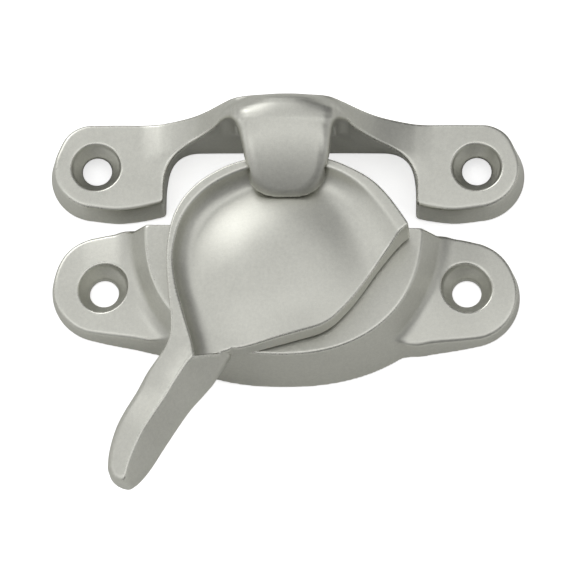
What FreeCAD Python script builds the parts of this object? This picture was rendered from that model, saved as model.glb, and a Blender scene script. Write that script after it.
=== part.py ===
import FreeCAD, Part
import math
import os

# Cam-action window sash lock, in millimetres.
# X runs along the meeting rails, Y from the lock (front) towards the keeper (rear),
# Z up from the mounting face.  Origin: midway between the two base screw holes, on
# the mounting face; the cam turns about the Z axis through it.

V = FreeCAD.Vector
doc = FreeCAD.newDocument("sash_lock")

# ------------------------------------------------------------ driving dimensions
# alias, size in mm or degrees, note
SIZES = [
    ("base_hole_x", 25.6, "half the spacing of the base screw holes"),
    ("keeper_hole_x", 27.0, "half the spacing of the keeper screw holes"),
    ("keeper_hole_y", 17.8, "keeper hole line behind the pivot"),
    ("screw_dia", 4.1, "clearance hole for a number 6 screw"),
    ("csk_dia", 7.1, "countersink at the surface"),
    ("csk_angle", 82, "countersink cone"),
    ("boss_height", 8.5, "flat top the cam turns on"),
    ("boss_rear", 7.6, "flat rear face of the base"),
    ("boss_top_halfwidth", 19.4, "boss half width at the top"),
    ("boss_top_depth", 19.1, "boss depth at the top"),
    ("boss_foot_halfwidth", 25.0, "boss half width at the foot"),
    ("boss_foot_depth", 21.3, "boss depth at the foot"),
    ("boss_power", 2.25, "fullness of the boss outline"),
    ("ear_height", 3.0, "base ear thickness at the hole"),
    ("ear_end_radius", 7.5, "base ear end radius at the foot"),
    ("ear_draft", 9.5, "draft of the ear edge"),
    ("ramp_bottom", 2.6, "foot of the ramp, inside the ears"),
    ("shoulder_height", 5.2, "height of the ramp where the ear meets the boss"),
    ("pocket_halfwidth", 14.0, "underside pocket half width"),
    ("pocket_front", -9.6, "underside pocket front wall"),
    ("pocket_rear", 5.5, "underside pocket rear wall"),
    ("pocket_roof", 5.3, "underside pocket roof height"),
    ("roof_overlap", 0.2, "how far ribs and slot blocks run into the pocket roof"),
    ("rib_bottom", 1.6, "lower face of the stop ribs"),
    ("slot_bottom", 1.8, "lower face of the leaf slot blocks"),
    ("slot_y", 4.4, "middle of the leaf slots"),
    ("bore_radius", 3.05, "bore for the pivot stud"),
    ("stud_radius", 3.0, "pivot stud"),
    ("stud_top", 12.0, "top of the stud inside the cam"),
    ("stud_shoulder", 1.6, "stud end before the peened head"),
    ("stud_head_radius", 3.7, "peened head"),
    ("stud_head_bottom", 0.9, "lowest point of the peened head"),
    ("stud_step", 0.4, "step in radius from the stud to its lower end"),
    ("flat_halfwidth", 2.1, "pivot axis to each flat that drives the collar"),
    ("cam_under", 9.1, "underside of the cam plate"),
    ("crest_height", 15.0, "top of the cam rim"),
    ("groove_height", 12.2, "floor of the groove inside the rim"),
    ("bowl_draft", 20.0, "draft of the inner rim wall"),
    ("dome_height", 14.2, "top of the dome"),
    ("dome_radius", 11.2, "foot radius of the dome"),
    ("cutaway_bottom", 5.0, "start of the cam cutaway, below the cam"),
    ("thrust_outer", 8.0, "thrust washer outer radius"),
    ("thrust_inner", 3.2, "thrust washer inner radius"),
    ("spring_washer_outer", 5.2, "conical spring washer outer radius"),
    ("spring_washer_inner", 3.15, "conical spring washer inner radius"),
    ("spring_washer_gauge", 0.35, "conical spring washer thickness"),
    ("collar_radius", 4.4, "detent collar"),
    ("collar_top", 4.6, "upper face of the collar"),
    ("collar_bottom", 2.4, "lower face of the collar"),
    ("lug_radius", 8.2, "reach of the stop lug"),
    ("lug_slant", 22.5, "turn of the locked lug from -X towards the front"),
    ("lug_half_angle", 8.0, "half the angle the lug spans"),
    ("notch_depth", 0.35, "depth of the detent notches"),
    ("open_angle", 135, "turn of the lever from locked to open"),
    ("retainer_radius", 5.0, "retaining washer outer radius"),
    ("leaf_gauge", 0.4, "leaf spring thickness"),
    ("leaf_width", 2.0, "leaf spring strip width"),
    ("leaf_bottom", 2.5, "lower edge of the leaf spring"),
    ("keeper_ear_height", 4.4, "keeper ear thickness"),
    ("keeper_rear", 24.0, "rear face of the keeper"),
    ("keeper_wall", 2.5, "thickness of the keeper rear wall"),
    ("keeper_end_radius", 6.8, "keeper ear end radius at the foot"),
    ("hook_width", 13.0, "width of the keeper hook"),
    ("hook_under", 15.55, "underside of the hook over the rim"),
    ("tongue_under", 12.8, "lowest point of the hook tongue"),
    ("tongue_face", 14.15, "working face radius of the tongue at the crest"),
    ("trim_bottom", 10.0, "start of the tongue trim, below the tongue"),
    ("keeper_relief", 2.0, "depth of the relief under each keeper ear"),
]

sheet = doc.addObject("Spreadsheet::Sheet", "P")
for row, (alias, number, note) in enumerate(SIZES, 1):
    sheet.set("A%d" % row, alias)
    sheet.set("B%d" % row, str(number))
    sheet.setAlias("B%d" % row, alias)
    sheet.set("C%d" % row, note)
doc.recompute()
dim = {alias: float(number) for alias, number, note in SIZES}


# ------------------------------------------------------------- sketch geometry
def segment(start, end):
    return Part.LineSegment(V(*start, 0), V(*end, 0))


def arc(start, middle, end):
    return Part.Arc(V(*start, 0), V(*middle, 0), V(*end, 0))


def circle(x, y, radius):
    return Part.Circle(V(x, y, 0), V(0, 0, 1), radius)


def spline(points, periodic=False):
    curve = Part.BSplineCurve()
    vectors = [V(x, y, 0) for x, y in points]
    if periodic:
        curve.interpolate(vectors, PeriodicFlag=True)
    else:
        curve.interpolate(vectors)
    return curve


def polygon(points):
    return [segment(a, b) for a, b in zip(points, points[1:] + points[:1])]


def rectangle(x0, x1, y0, y1):
    return polygon([(x0, y0), (x1, y0), (x1, y1), (x0, y1)])


def closed_spline(points, corners=()):
    """A spline closed by straight edges from its end through corners to its start."""
    chain = [points[-1], *corners, points[0]]
    return [spline(points)] + [segment(a, b) for a, b in zip(chain, chain[1:])]


def on_side(side, points):
    """The points as given for side 1, mirrored in X for side -1."""
    return [(side * x, y) for x, y in points]


def polar(angle, radius):
    return (radius * math.cos(math.radians(angle)), radius * math.sin(math.radians(angle)))


# ------------------------------------------------------------ document objects
def new_body(name):
    return doc.addObject("PartDesign::Body", name)


def sketch(body, name, edges, offset=None, role="XY_Plane", placement=None):
    """Sketch on an origin plane; offset is an expression along the plane's normal."""
    drawn = body.newObject("Sketcher::SketchObject", name)
    support = next(f for f in body.Origin.OriginFeatures if f.Role == role)
    drawn.AttachmentSupport = [(support, "")]
    drawn.MapMode = "FlatFace"
    if placement is not None:
        drawn.AttachmentOffset = placement
    if offset is not None:
        drawn.setExpression("AttachmentOffset.Base.z", offset)
    for edge in edges:
        drawn.addGeometry(edge, False)
    doc.recompute()
    return drawn


def in_error(obj):
    return "Invalid" in obj.State or "Error" in obj.State


def volume(body):
    """Volume of the body so far; zero before its first feature."""
    return body.Tip.Shape.Volume if body.Tip and not body.Tip.Shape.isNull() else 0


def settle(body, before, adds):
    """Recompute, and stop if the newest feature failed or changed nothing."""
    doc.recompute()
    tip = body.Tip
    if in_error(tip):
        raise RuntimeError("%s is %s" % (tip.Name, tip.State))
    gain = tip.Shape.Volume - before
    if (gain if adds else -gain) <= 1e-3:
        raise RuntimeError("%s changed nothing" % tip.Name)


def pad(body, name, profile, length, symmetric=False):
    before = volume(body)
    feature = body.newObject("PartDesign::Pad", name)
    feature.Profile = profile
    feature.setExpression("Length", length)
    feature.Midplane = symmetric
    settle(body, before, adds=True)


def pocket(body, name, profile, length=None):
    """Cut upwards from the sketch, through everything unless a length is given."""
    before = volume(body)
    feature = body.newObject("PartDesign::Pocket", name)
    feature.Profile = profile
    if length is None:
        feature.Type = "ThroughAll"
    else:
        feature.setExpression("Length", length)
    feature.Reversed = True
    settle(body, before, adds=False)


def loft(body, name, first, rest, adds=True):
    before = volume(body)
    kind = "AdditiveLoft" if adds else "SubtractiveLoft"
    feature = body.newObject("PartDesign::" + kind, name)
    feature.Profile = first
    feature.Sections = rest
    feature.Ruled = True
    settle(body, before, adds)


def revolve(body, name, profile, adds=True):
    """Full turn about the sketch's vertical axis."""
    before = volume(body)
    kind = "Revolution" if adds else "Groove"
    feature = body.newObject("PartDesign::" + kind, name)
    feature.Profile = profile
    feature.ReferenceAxis = (profile, ["V_Axis"])
    feature.Angle = 360
    settle(body, before, adds)


def screw_holes(body, name, profile):
    """Countersunk through holes at the centres of the profile's circles."""
    before = volume(body)
    doc.recompute()
    feature = body.newObject("PartDesign::Hole", name)
    feature.Profile = profile
    doc.recompute()
    feature.DepthType = "ThroughAll"
    feature.Diameter = dim["screw_dia"]
    feature.setExpression("Diameter", "P.screw_dia")
    feature.HoleCutType = "Countersink"
    feature.HoleCutDiameter = dim["csk_dia"]
    feature.HoleCutCountersinkAngle = dim["csk_angle"]
    feature.setExpression("HoleCutDiameter", "P.csk_dia")
    feature.setExpression("HoleCutCountersinkAngle", "P.csk_angle")
    settle(body, before, adds=False)


def circle_pair(x, y, radius):
    return [circle(-x, y, radius), circle(x, y, radius)]


HOLE_MARK_RADIUS = 2.0      # circles that only place the screw holes
COLLAR_HEIGHT = "P.collar_top - P.collar_bottom"


# ------------------------------------------------------------------------ base
def boss_outline(halfwidth, depth, rear):
    """Half superellipse bulging to the front, closed by a straight rear edge."""
    steps = 28
    exponent = 2 / dim["boss_power"]
    points = []
    for i in range(steps + 1):
        angle = math.pi * i / steps
        c, s = math.cos(angle), math.sin(angle)
        points.append((halfwidth * math.copysign(abs(c) ** exponent, c),
                       rear - depth * abs(s) ** exponent))
    return closed_spline(points)


def ear_outline(inset):
    """Both ears and the strip between them; inset moves the edge in for the draft."""
    x = dim["base_hole_x"]
    radius = dim["ear_end_radius"] - inset
    rear = 7.72 - 0.6 * inset
    end_x, end_y = polar(75, radius)          # where the end arc meets the side curves
    end_x += x
    end_arc = [(end_x, -end_y), (x + radius, 0), (end_x, end_y)]
    rear_curve = [(end_x, end_y), (x - 2.0, rear - 0.12), (x - 5.0, rear)]
    front_curve = [(end_x, -end_y), (x - 1.0, -7.9 + inset), (x - 4.5, -8.5 + inset),
                   (x - 9.0, -9.3 + inset)]
    left_rear = on_side(-1, rear_curve)
    left_front = on_side(-1, front_curve)
    return [
        arc(*end_arc),
        spline(rear_curve),
        segment(rear_curve[-1], left_rear[-1]),
        spline(left_rear[::-1]),
        arc(*on_side(-1, end_arc[::-1])),
        spline(left_front),
        segment(left_front[-1], front_curve[-1]),
        spline(front_curve[::-1]),
    ]


def pocket_outline(front_radius, rear_radius):
    """Rectangle of the underside pocket with rounded corners."""
    x = dim["pocket_halfwidth"]
    y0, y1 = dim["pocket_front"], dim["pocket_rear"]
    front, rear = front_radius, rear_radius
    tangents = [(-x + front, y0), (x - front, y0), (x, y0 + front), (x, y1 - rear),
                (x - rear, y1), (-x + rear, y1), (-x, y1 - rear), (-x, y0 + front)]
    front_cut = front * (1 - math.sqrt(0.5))
    rear_cut = rear * (1 - math.sqrt(0.5))
    middles = [(x - front_cut, y0 + front_cut), (x - rear_cut, y1 - rear_cut),
               (-x + rear_cut, y1 - rear_cut), (-x + front_cut, y0 + front_cut)]
    edges = []
    for i, middle in enumerate(middles):
        start, end = tangents[2 * i], tangents[2 * i + 1]
        edges += [segment(start, end), arc(end, middle, tangents[(2 * i + 2) % 8])]
    return edges


def stop_rib_outline():
    """A wedge on each side of the pocket, beside the path of the collar lug."""
    lug_gap, span = 0.4, 11                   # degrees
    inner_radius, wall_overlap = 5.7, 0.6
    near = -dim["lug_slant"] + dim["lug_half_angle"] + lug_gap
    far = near + span
    wall_x = dim["pocket_halfwidth"] + wall_overlap
    wedge = [polar(near, inner_radius),
             (wall_x, wall_x * math.tan(math.radians(near))),
             (wall_x, wall_x * math.tan(math.radians(far))),
             polar(far, inner_radius)]
    return polygon(wedge) + polygon(on_side(-1, wedge))


def leaf_slot_outline():
    """Blocks in front of and behind each end of the leaf spring."""
    inner_x, wall_overlap = 10.6, 0.4
    half_slot, front_block = 0.25, 1.6
    middle = dim["slot_y"]
    wall_x = dim["pocket_halfwidth"] + wall_overlap
    spans = [(middle - front_block, middle - half_slot),
             (middle + half_slot, dim["pocket_rear"] + wall_overlap)]
    edges = []
    for side in (-1, 1):
        for y0, y1 in spans:
            edges += rectangle(side * inner_x, side * wall_x, y0, y1)
    return edges


def lock_base():
    base = new_body("base")
    rear_lean = 0.1                           # the rear face leans in towards the top
    foot = sketch(base, "boss_foot", boss_outline(
        dim["boss_foot_halfwidth"], dim["boss_foot_depth"], dim["boss_rear"]))
    top = sketch(base, "boss_top", boss_outline(
        dim["boss_top_halfwidth"], dim["boss_top_depth"], dim["boss_rear"] - rear_lean),
        "P.boss_height")
    loft(base, "boss", foot, [top])

    ear_inset = dim["ear_height"] * math.tan(math.radians(dim["ear_draft"]))
    foot = sketch(base, "ear_foot", ear_outline(0.0))
    top = sketch(base, "ear_top", ear_outline(ear_inset), "P.ear_height")
    loft(base, "ears", foot, [top])

    foot = sketch(base, "ramp_foot", rectangle(-24.6, 24.6, -6.6, 6.9), "P.ramp_bottom")
    top = sketch(base, "ramp_top", rectangle(-20.3, 20.3, -5.2, 6.9), "P.shoulder_height")
    loft(base, "ramp", foot, [top])

    marks = sketch(base, "screw_circles",
                   circle_pair(dim["base_hole_x"], 0, HOLE_MARK_RADIUS), "P.ear_height")
    screw_holes(base, "screw_holes", marks)

    # The larger front corners follow the round wall of the boss.
    outline = sketch(base, "pocket_outline", pocket_outline(front_radius=7.0, rear_radius=2.5))
    pocket(base, "underside_pocket", outline, "P.pocket_roof")
    bore = sketch(base, "bore_circle", [circle(0, 0, dim["bore_radius"])])
    pocket(base, "stud_bore", bore)

    ribs = sketch(base, "stop_outline", stop_rib_outline(), "P.rib_bottom")
    pad(base, "stop_ribs", ribs, "P.pocket_roof - P.rib_bottom + P.roof_overlap")
    slots = sketch(base, "slot_outline", leaf_slot_outline(), "P.slot_bottom")
    pad(base, "leaf_slots", slots, "P.pocket_roof - P.slot_bottom + P.roof_overlap")
    return base


# ------------------------------------------------------------------------- cam
# Outer edge of the rim: angle from +X in degrees, radius
RIM_OUTER = [
    (16.5, 18.65), (23, 18.17), (34.7, 17.7), (44.5, 17.38), (55.4, 16.85), (66, 16.5),
    (80, 16.15), (95, 15.95), (109.5, 15.93), (120, 16.2), (134, 16.55), (145, 16.7),
    (155, 16.6), (165, 16.3), (176, 16.03), (187, 15.95), (200, 16.45), (209, 17.25),
    (216, 18.5),
]
# Inner edge of the rim at the crest: angle, radius
RIM_INNER = [
    (10, 17.6), (14, 17.18), (21, 16.6), (30, 16.15), (42, 15.8), (52, 15.5), (63, 15.2),
    (76, 14.85), (90, 14.6), (100, 14.5), (111.6, 14.45), (124, 14.65), (136.5, 14.99),
    (149, 15.19), (159, 15.18), (171, 15.04), (179, 14.96), (188, 14.85), (197, 14.88),
    (206, 15.1), (215, 15.74), (224.4, 16.9), (230, 18.13), (234, 19.6),
]
# Front edge of the cam, from the +X end to the lever: x, y
CUTAWAY = [
    (18.9, 6.0), (17.26, 5.0), (16.0, 3.75), (14.6, 2.0), (12.85, -0.4), (11.3, -2.76),
    (9.9, -4.7), (8.4, -6.45), (7.0, -7.8), (5.3, -8.8), (2.8, -9.9), (0.0, -10.8),
    (-4.24, -11.9), (-9.2, -12.8), (-11.7, -13.4),
]
# Dome: radius, drop below the top
DOME = [(0, 0), (3.5, 0.12), (7.0, 0.72), (9.5, 1.5)]
# Thumb lever stations, from the cam to the tip: ridge x, ridge y, ridge z,
# width and edge z on the -X side, width and edge z on the +X side, bottom z
LEVER = [
    (-10.6, -11.6, 14.9, 4.6, 13.0, 3.4, 9.9, 9.1),
    (-12.4, -14.2, 14.8, 4.3, 12.9, 3.5, 9.9, 9.1),
    (-15.4, -19.1, 14.3, 4.2, 12.3, 3.4, 9.7, 9.0),
    (-18.3, -23.5, 13.6, 4.3, 11.4, 3.3, 8.9, 8.2),
    (-20.0, -27.0, 12.9, 3.7, 10.7, 2.9, 8.4, 7.6),
    (-20.9, -30.3, 12.1, 1.6, 10.6, 1.2, 8.8, 8.0),
]


def bowl_outline(inset):
    points = [polar(angle, radius - inset) for angle, radius in RIM_INNER]
    return closed_spline(points, [(-4.0, -19.0), (19.0, -12.0)])


def lever_section(cam, i):
    """Gabled section at station i, square to the bent centre line of the lever."""
    x, y, ridge, left, left_z, right, right_z, bottom = LEVER[i]
    before, after = LEVER[max(i - 1, 0)], LEVER[min(i + 1, len(LEVER) - 1)]
    dx, dy = after[0] - before[0], after[1] - before[1]
    length = math.hypot(dx, dy)
    dx, dy = dx / length, dy / length
    # Sketch x points across the lever to the +X side, sketch y points up.
    turn = FreeCAD.Rotation(V(-dy, dx, 0), V(0, 0, 1), V(dx, dy, 0), "ZXY")
    points = [(0, ridge), (right * 0.25, ridge - 0.35), (right, right_z),
              (right - 0.5, bottom), (-left + 0.8, bottom), (-left, left_z - 0.9),
              (-left, left_z), (-0.6, ridge - 0.15)]
    return sketch(cam, "lever_%d" % i, polygon(points),
                  placement=FreeCAD.Placement(V(x, y, 0), turn))


def cam_lever():
    cam = new_body("cam")
    outline = closed_spline([polar(*point) for point in RIM_OUTER],
                            [(-14.2, -14.4), (-11.7, -13.4), (-4.0, -13.6), (14.0, -8.0)])
    plate = sketch(cam, "cam_outline", outline, "P.cam_under")
    pad(cam, "cam_plate", plate, "P.crest_height - P.cam_under")

    bowl_depth = dim["crest_height"] - dim["groove_height"]
    bowl_inset = bowl_depth * math.tan(math.radians(dim["bowl_draft"]))
    crest = sketch(cam, "rim_inner", bowl_outline(0.0), "P.crest_height")
    floor = sketch(cam, "groove_floor", bowl_outline(bowl_inset), "P.groove_height")
    loft(cam, "bowl", crest, [floor], adds=False)

    dome_bottom, foot_sink = 9.6, 0.05        # the dome's foot sinks into the groove floor
    points = [(radius, dim["dome_height"] - drop) for radius, drop in DOME]
    points.append((dim["dome_radius"], dim["groove_height"] - foot_sink))
    corners = [(dim["dome_radius"], dome_bottom), (0, dome_bottom)]
    dome = sketch(cam, "dome_profile", closed_spline(points, corners), role="XZ_Plane")
    revolve(cam, "dome", dome)

    sections = [lever_section(cam, i) for i in range(len(LEVER))]
    loft(cam, "lever", sections[0], sections[1:])

    corners = [(-7.4, -14.2), (-5.0, -21.0), (26.0, -14.0), (26.0, 5.0)]
    cutaway = sketch(cam, "cutaway", closed_spline(CUTAWAY, corners), "P.cutaway_bottom")
    pocket(cam, "cutaway_cut", cutaway)
    socket = sketch(cam, "socket_circle", [circle(0, 0, dim["stud_radius"])], "P.cam_under")
    pocket(cam, "stud_socket", socket, "P.stud_top - P.cam_under")
    return cam


# ---------------------------------------------------------------------- keeper
# Top edge of the rear wall on the +X side: x, z
WALL_CREST = [(3.2, 18.1), (6.0, 16.6), (7.5, 14.8), (9.3, 11.8), (12.4, 8.2), (16.0, 5.2),
              (19.5, 4.2)]
# Top of the hook, from the rear to the tip: y, z
HOOK_TOP = [(24.0, 16.2), (23.6, 17.6), (22.6, 18.4), (20.5, 18.6), (18.3, 18.45),
            (16.4, 17.9), (14.6, 16.8), (12.8, 15.6), (11.2, 14.2), (10.2, 13.1)]
# Tongue in plan, from +X round the tip to -X: x, y
TONGUE = [(6.9, 19.6), (6.5, 17.2), (6.2, 13.4), (5.5, 12.0), (4.3, 11.0), (2.8, 10.35),
          (0.4, 10.05), (-1.0, 10.15), (-2.6, 10.7), (-3.9, 11.7), (-4.7, 13.0),
          (-5.4, 16.0), (-6.5, 19.6)]


def keeper_outline(inset):
    """Both ears and the rear wall; inset moves the edge in for the draft."""
    x, y = dim["keeper_hole_x"], dim["keeper_hole_y"]
    radius = dim["keeper_end_radius"] - inset
    end_x, end_y = polar(80, radius)          # end arc meets side curves, from the hole
    rear, wall = 24.35 - 0.4 * inset, 21.4
    rear_end, front_end = (x + end_x, y + end_y), (x + end_x, y - end_y)
    inner = (16.9 + inset, 11.8 + inset)      # front inner corner of the ear
    rear_curve = [(13.0, rear), (20.0, rear), (24.0, rear), rear_end]
    end_arc = [rear_end, (x + radius, y), front_end]
    front_curve = [front_end, (24.0, 10.65 + 1.2 * inset), (20.5, 11.0 + 1.1 * inset), inner]
    inner_curve = [inner, (17.2 + 0.6 * inset, 15.0), (16.7 + 0.1 * inset, 18.5),
                   (15.8, 20.5), (14.0, wall)]
    edges = []
    for side in (-1, 1):
        edges += [spline(on_side(side, rear_curve)), arc(*on_side(side, end_arc)),
                  spline(on_side(side, front_curve)), spline(on_side(side, inner_curve))]
    return edges + [segment((-14.0, wall), (14.0, wall)), segment((-13.0, rear), (13.0, rear))]


def keeper():
    body = new_body("keeper_body")
    top_inset = 0.85
    foot = sketch(body, "keeper_foot", keeper_outline(0.0))
    top = sketch(body, "keeper_top", keeper_outline(top_inset), "P.keeper_ear_height")
    loft(body, "keeper_plate", foot, [top])

    crest = on_side(-1, WALL_CREST[::-1]) + [(0, 18.6)] + WALL_CREST
    # The XZ plane's normal is -Y, so a negative offset moves the sketch to the rear.
    wall = sketch(body, "wall_profile", closed_spline(crest, [(19.5, 1.0), (-19.5, 1.0)]),
                  "-P.keeper_rear", role="XZ_Plane")
    pad(body, "rear_wall", wall, "P.keeper_wall")

    under = dim["tongue_under"]
    corners = [(10.5, under), (21.6, under), (24.0, 12.0)]
    hook = sketch(body, "hook_profile", closed_spline(HOOK_TOP, corners), role="YZ_Plane")
    pad(body, "hook", hook, "P.hook_width", symmetric=True)

    # Narrow the tongue to a round tip.
    corners = [(-9.0, 19.6), (-9.0, 8.0), (9.0, 8.0), (9.0, 19.6)]
    plan = sketch(body, "tongue_plan", closed_spline(TONGUE, corners), "P.trim_bottom")
    pocket(body, "tongue_trim", plan)

    # Clearance for the turning rim; the tongue face leans with the bowl draft.
    face, roof, bottom = dim["tongue_face"], dim["hook_under"], 9.0
    lean = (roof - bottom) * math.tan(math.radians(dim["bowl_draft"]))
    path = [(face - lean, bottom), (face, roof), (19.9, roof), (21.3, 14.0), (21.3, bottom)]
    clearance = sketch(body, "rim_clearance", polygon(path), role="XZ_Plane")
    revolve(body, "rim_path", clearance, adds=False)

    x, y = dim["keeper_hole_x"], dim["keeper_hole_y"]
    relief_radius = 4.6
    marks = sketch(body, "keeper_screws", circle_pair(x, y, HOLE_MARK_RADIUS),
                   "P.keeper_ear_height")
    relief = sketch(body, "relief_outline", circle_pair(x, y, relief_radius))
    pocket(body, "ear_relief", relief, "P.keeper_relief")
    screw_holes(body, "keeper_holes", marks)
    return body


# -------------------------------------------------------------- turned pieces
def turned(name, profile):
    """Body turned about Z from a closed profile of radius, z points."""
    body = new_body(name + "_body")
    drawn = sketch(body, name + "_profile", polygon(profile), role="XZ_Plane")
    revolve(body, name + "_turn", drawn)
    return body


def pivot_stud():
    radius, neck = dim["stud_radius"], dim["stud_radius"] - dim["stud_step"]
    head, bottom = dim["stud_head_radius"], dim["stud_head_bottom"]
    shoulder, collar_top, top = dim["stud_shoulder"], dim["collar_top"], dim["stud_top"]
    chamfer = 0.4
    stud = turned("stud", [
        (0, bottom), (radius - 0.6, bottom), (head, bottom + 0.45), (head, shoulder),
        (neck, shoulder), (neck, collar_top), (radius, collar_top),
        (radius, top - chamfer), (radius - chamfer, top), (0, top)])
    # Two flats that drive the collar.
    reach = 4.2
    edges = []
    for side in (-1, 1):
        edges += rectangle(side * dim["flat_halfwidth"], side * reach, -reach, reach)
    flats = sketch(stud, "flat_outline", edges, "P.collar_bottom")
    pocket(stud, "flats", flats, COLLAR_HEIGHT)
    return stud


def thrust_washer():
    """Washer between the boss and the cam, its outer edges chamfered."""
    inner, outer = dim["thrust_inner"], dim["thrust_outer"]
    bottom, top = dim["boss_height"], dim["cam_under"]
    chamfer = 0.1
    return turned("thrust", [
        (inner, bottom), (outer - chamfer, bottom), (outer, bottom + chamfer),
        (outer, top - chamfer), (outer - chamfer, top), (inner, top)])


def spring_washer():
    """Cone from the collar up to the pocket roof."""
    inner, outer = dim["spring_washer_inner"], dim["spring_washer_outer"]
    bottom, top = dim["collar_top"], dim["pocket_roof"]
    gauge, land = dim["spring_washer_gauge"], 0.1
    return turned("cone", [
        (inner, bottom), (inner + land, bottom), (outer, top - gauge), (outer, top),
        (outer - land, top), (inner, bottom + gauge)])


def retaining_washer():
    """Washer between the collar and the peened end."""
    inner, outer = dim["stud_radius"] - dim["stud_step"], dim["retainer_radius"]
    bottom, top = dim["stud_shoulder"], dim["collar_bottom"]
    chamfer = 0.15
    return turned("retainer", [
        (inner, bottom), (outer - chamfer, bottom), (outer, bottom + chamfer),
        (outer, top), (inner, top)])


# --------------------------------------------------------------- detent pieces
def collar_edge(angle):
    """Radius of the collar at an angle, with a notch for locked and one for open."""
    half_notch = 15.0
    radius = dim["collar_radius"]
    for notch in (90.0, 90.0 - dim["open_angle"]):
        away = abs((angle - notch + 180) % 360 - 180)
        if away < half_notch:
            wave = 1 + math.cos(math.pi * away / half_notch)
            radius = dim["collar_radius"] - dim["notch_depth"] * 0.5 * wave
    return radius


def detent_collar():
    """Notched disc with one stop lug and a bore with two flats."""
    collar = new_body("collar_body")
    steps = 180
    angles = [360.0 * i / steps for i in range(steps)]
    edge = spline([polar(angle, collar_edge(angle)) for angle in angles], periodic=True)
    disc = sketch(collar, "collar_outline", [edge], "P.collar_bottom")
    pad(collar, "collar_disc", disc, COLLAR_HEIGHT)

    root, tip = 3.4, dim["lug_radius"]
    middle, half = 180 + dim["lug_slant"], dim["lug_half_angle"]
    start, end = middle - half, middle + half
    points = [polar(start, root), polar(start, tip), polar(end, tip), polar(end, root)]
    lug = sketch(collar, "lug_outline", polygon(points), "P.collar_bottom")
    pad(collar, "stop_lug", lug, COLLAR_HEIGHT)

    x, radius = dim["flat_halfwidth"], dim["stud_radius"] - dim["stud_step"]
    y = math.sqrt(radius * radius - x * x)
    edges = [arc((x, y), (0, radius), (-x, y)), segment((-x, y), (-x, -y)),
             arc((-x, -y), (0, -radius), (x, -y)), segment((x, -y), (x, y))]
    bore = sketch(collar, "collar_bore", edges, "P.collar_bottom")
    pocket(collar, "collar_slot", bore)
    return collar


def leaf_line(x):
    """Y of the leaf's middle line: a broad bow to the rear, a narrow bead to the front."""
    bow = 0.34 * math.exp(-(x / 4.6) ** 4)
    bead = 0.42 * math.exp(-(x / 1.0) ** 2)
    return dim["slot_y"] + bow - bead


def detent_spring():
    """Bowed strip with a pressed bead that drops into the collar notches."""
    leaf = new_body("leaf_body")
    half_length, steps = 12.9, 48
    half_gauge = dim["leaf_gauge"] / 2
    stations = [-half_length + 2 * half_length * i / steps for i in range(steps + 1)]
    front = [(x, leaf_line(x) - half_gauge) for x in stations]
    rear = [(x, leaf_line(x) + half_gauge) for x in stations]
    edges = [spline(front), segment(front[-1], rear[-1]),
             spline(rear[::-1]), segment(rear[0], front[0])]
    strip = sketch(leaf, "leaf_outline", edges, "P.leaf_bottom")
    pad(leaf, "leaf_strip", strip, "P.leaf_width")
    return leaf


# ------------------------------------------------------------ build and export
pieces = {}
for build in (lock_base, cam_lever, keeper, pivot_stud, thrust_washer, spring_washer,
              detent_collar, retaining_washer, detent_spring):
    name = build.__name__
    pieces[name] = build()
    pieces[name].Label = name

doc.recompute()
failed = [obj.Name for obj in doc.Objects if in_error(obj)]
if failed:
    raise RuntimeError("objects in error: %s" % failed)
os.makedirs("parts", exist_ok=True)
for name, body in pieces.items():
    shape = body.Shape
    if shape.isNull() or not shape.isValid() or shape.Volume < 0.5:
        raise RuntimeError("%s has a bad shape" % name)
    shape.exportStep("parts/%s.step" % name)
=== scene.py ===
"""A cam lock of three satin nickel castings, with its stage, light and camera.

The cam turns about the Z axis and the castings stand on z = 0. The base lies round the axis,
the keeper behind it (+Y), and the lever points to the front left (-X, -Y). Each casting is a
smooth field in millimetres, negative inside. The scene itself is in metres.
"""
import math
from itertools import product

import bpy
import numpy as np
from mathutils import Matrix, Vector


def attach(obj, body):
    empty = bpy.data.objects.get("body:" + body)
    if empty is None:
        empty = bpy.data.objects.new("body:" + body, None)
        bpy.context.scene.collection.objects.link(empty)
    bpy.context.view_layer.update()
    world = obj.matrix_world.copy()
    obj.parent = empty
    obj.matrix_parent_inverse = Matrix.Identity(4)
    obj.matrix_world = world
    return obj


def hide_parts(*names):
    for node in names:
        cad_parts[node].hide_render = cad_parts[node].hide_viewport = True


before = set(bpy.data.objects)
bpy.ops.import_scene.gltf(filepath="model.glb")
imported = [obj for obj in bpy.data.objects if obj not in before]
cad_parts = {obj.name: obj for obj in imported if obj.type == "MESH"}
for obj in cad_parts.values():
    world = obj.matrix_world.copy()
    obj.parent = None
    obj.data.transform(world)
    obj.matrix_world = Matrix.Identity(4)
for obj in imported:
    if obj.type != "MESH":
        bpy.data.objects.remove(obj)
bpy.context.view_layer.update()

np.random.seed(7)

GRID_STEP = 0.235    # mm
MM = 0.001                              # one millimetre in scene units

# ------------------------------------------------ field tools
# The last argument of soft_max, soft_min and cut is the width of the rounded edge.


def soft_max(first, second, width):
    width = np.maximum(width, 1e-6)
    overlap = np.maximum(width - np.abs(first - second), 0.0) / width
    return np.maximum(first, second) + overlap * overlap * width * 0.25


def soft_min(first, second, width):
    return -soft_max(-first, -second, width)


def cut(body, tool, width):
    """The body with the tool taken away."""
    return soft_max(body, -tool, width)


def ease(value, start, end):
    """Smooth step from 0 at start to 1 at end."""
    share = np.clip((value - start) / (end - start), 0, 1)
    return share * share * (3 - 2 * share)


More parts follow.
